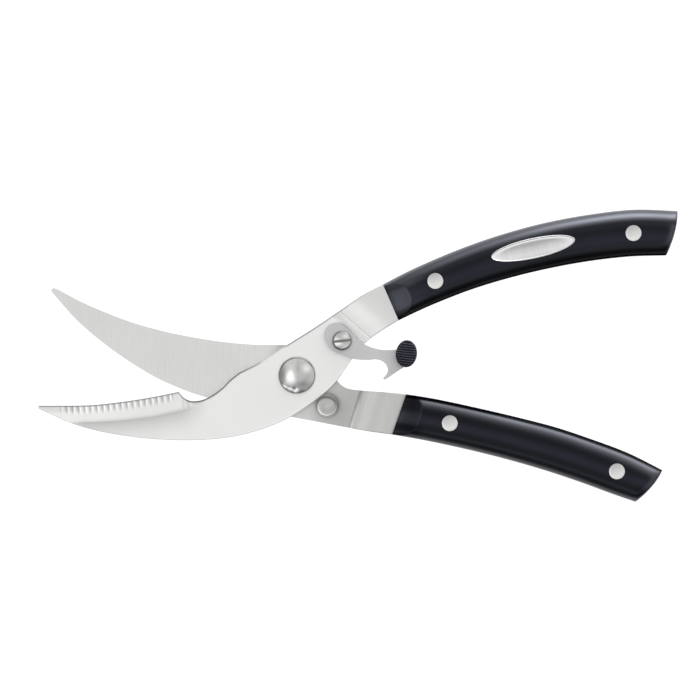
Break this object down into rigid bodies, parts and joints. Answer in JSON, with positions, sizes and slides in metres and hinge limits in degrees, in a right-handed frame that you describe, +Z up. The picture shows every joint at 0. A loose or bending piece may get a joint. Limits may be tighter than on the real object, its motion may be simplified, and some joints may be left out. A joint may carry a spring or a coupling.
{
  "type": "poultry shears",
  "caption": "Spring-opened poultry shears with one serrated and one plain curved blade, a bone notch, riveted dark handles and a swinging handle lock.",
  "frame": {"origin": "middle of the outer box of the open shears, on the ground they lie on", "axes": "+Z up, along the pivot towards its domed head, +X towards the handles, +Y towards the handle of the serrated blade"},
  "size_m": [0.2396, 0.1096, 0.0171],
  "materials": {
    "blade_steel": "satin",
    "plain_blade_steel": "satin, brushed across",
    "polished_steel": "polished",
    "turned_steel": "turned",
    "spring_steel": "oiled",
    "lever_steel": "fine blasted",
    "handle_plastic": "satin",
    "knob_plastic": "satin, ribbed"
  },
  "bodies": {
    "front_half": {"front_blade": "blade_steel", "pivot_bolt": "polished_steel", "pivot_nut": "turned_steel", "pivot_lock_washer": "spring_steel", "pivot_spring": "spring_steel", "latch_screw": "turned_steel", "latch_spring_washer": "spring_steel", "upper_front_scale": "handle_plastic", "upper_rear_scale": "handle_plastic", "upper_rivet_sleeves": "polished_steel", "upper_rivet_pins": "polished_steel", "handle_badge": "turned_steel"},
    "rear_half": {"rear_blade": "plain_blade_steel", "catch_stud": "turned_steel", "lower_front_scale": "handle_plastic", "lower_rear_scale": "handle_plastic", "lower_rivet_sleeves": "polished_steel", "lower_rivet_pins": "polished_steel"},
    "latch": {"latch_lever": "lever_steel", "latch_knob": "knob_plastic", "latch_knob_rivet": "turned_steel"}
  },
  "joints": [
    {"name": "main_pivot", "type": "hinge", "parent": "front_half", "child": "rear_half", "pos_m": [-0.02285, -0.00737, 0.0075], "axis": [0, 0, 1], "range_deg": [0, 26], "stiffness_Nm_per_rad": 2.5, "deforming": ["pivot_spring"]},
    {"name": "latch_pivot", "type": "hinge", "parent": "front_half", "child": "latch", "pos_m": [-0.00595, 0.00563, 0.0123], "axis": [0, 0, 1], "range_deg": [-55, 0]}
  ]
}
